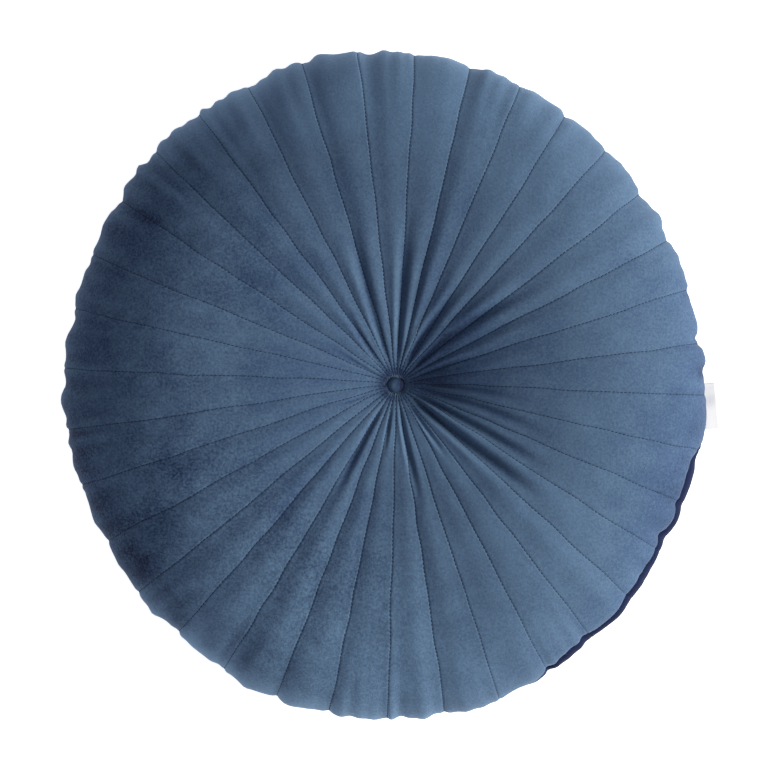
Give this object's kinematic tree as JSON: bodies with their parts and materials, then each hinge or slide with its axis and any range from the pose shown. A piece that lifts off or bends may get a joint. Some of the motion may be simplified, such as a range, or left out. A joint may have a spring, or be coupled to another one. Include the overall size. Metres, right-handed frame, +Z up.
{
  "type": "round tufted cushion",
  "caption": "Round velvet cushion with radial quilting, a deep centre tuft held by covered buttons, a rim seam and a folded side label.",
  "frame": {"origin": "on the axis of the centre tuft, on the flat ring that the cushion lies on", "axes": "+Z up out of the face, +X towards the side with the label, +Y along the face at right angles to it"},
  "size_m": [0.4005, 0.4078, 0.0998],
  "materials": {
    "velvet": "short pile velvet, blue",
    "thread": "polyester sewing thread, navy",
    "wadding": "thin polyester wadding",
    "lining": "non-woven lining",
    "fibre_filling": "loose polyester fibre",
    "button_shell": "pressed sheet",
    "button_wire": "bent wire",
    "twine": "twisted polyester twine",
    "label_tape": "woven satin tape, white"
  },
  "bodies": {
    "cushion": {"front_panel": "velvet", "front_wadding": "wadding", "front_backing": "lining", "front_quilting_thread": "thread", "back_panel": "velvet", "back_wadding": "wadding", "back_backing": "lining", "back_quilting_thread": "thread", "rim_seam_thread": "thread", "closing_seam_thread": "thread", "filling": "fibre_filling", "tuft_cord": "twine", "tuft_cord_knot": "twine", "side_label_tail": "label_tape"},
    "label": {"side_label": "label_tape"},
    "front_button": {"front_button_cover": "velvet", "front_button_shell": "button_shell", "front_button_plate": "button_shell", "front_button_loop": "button_wire"},
    "back_button": {"back_button_cover": "velvet", "back_button_shell": "button_shell", "back_button_plate": "button_shell", "back_button_loop": "button_wire"}
  },
  "joints": [
    {"name": "label_bend", "type": "hinge", "parent": "cushion", "child": "label", "pos_m": [0.18999, -0.01329, 0.05], "axis": [-0.0698, -0.9976, 0], "range_deg": [-70, 70], "stiffness_Nm_per_rad": 0.00005},
    {"name": "front_button_turn", "type": "hinge", "parent": "cushion", "child": "front_button", "pos_m": [0, 0, 0.0703], "axis": [0, 0, 1], "range_deg": [-30, 30], "stiffness_Nm_per_rad": 0.0005},
    {"name": "back_button_turn", "type": "hinge", "parent": "cushion", "child": "back_button", "pos_m": [0, 0, 0.0297], "axis": [0, 0, 1], "range_deg": [-30, 30], "stiffness_Nm_per_rad": 0.0005}
  ]
}
